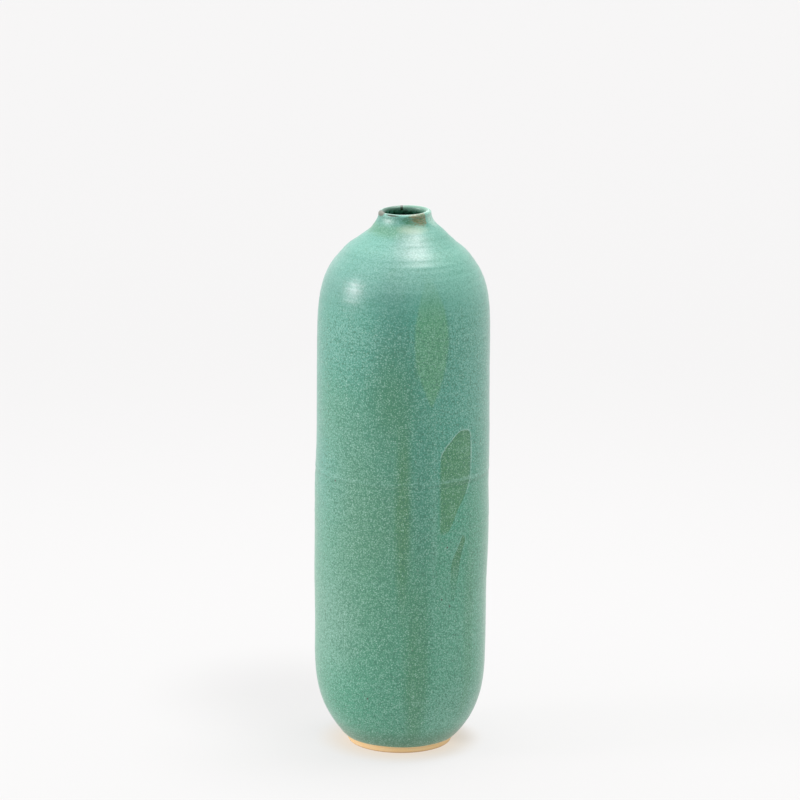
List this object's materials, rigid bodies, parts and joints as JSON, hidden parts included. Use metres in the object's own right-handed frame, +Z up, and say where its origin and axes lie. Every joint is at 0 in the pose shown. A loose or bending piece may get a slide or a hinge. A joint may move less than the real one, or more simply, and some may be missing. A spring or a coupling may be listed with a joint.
{
  "type": "bottle vase",
  "caption": "Tall hand-thrown stoneware bottle vase with a narrow neck, satin green glaze in two coats and a bare trimmed foot ring.",
  "frame": {"origin": "centre of the foot ring, on the surface that the vase stands on", "axes": "+Z up along the vase's axis; -Y faces the viewer and +X is to the viewer's right"},
  "size_m": [0.1128, 0.1128, 0.352],
  "materials": {
    "stoneware": "bare fired clay, matte, fine grog",
    "slip": "fired slip, matte",
    "liner_glaze": "glossy poured liner",
    "olive_glaze": "satin, thin over the clay, brown where it breaks at the lip",
    "green_glaze": "satin-matte sea green with pale fine crystals and throwing rings"
  },
  "bodies": {
    "root": {"base_section": "stoneware", "seam_slip": "slip", "upper_section": "stoneware", "neck_slip": "slip", "neck_collar": "stoneware", "inner_glaze": "liner_glaze", "glaze_base_coat": "olive_glaze", "glaze_top_coat": "green_glaze"}
  },
  "joints": []
}
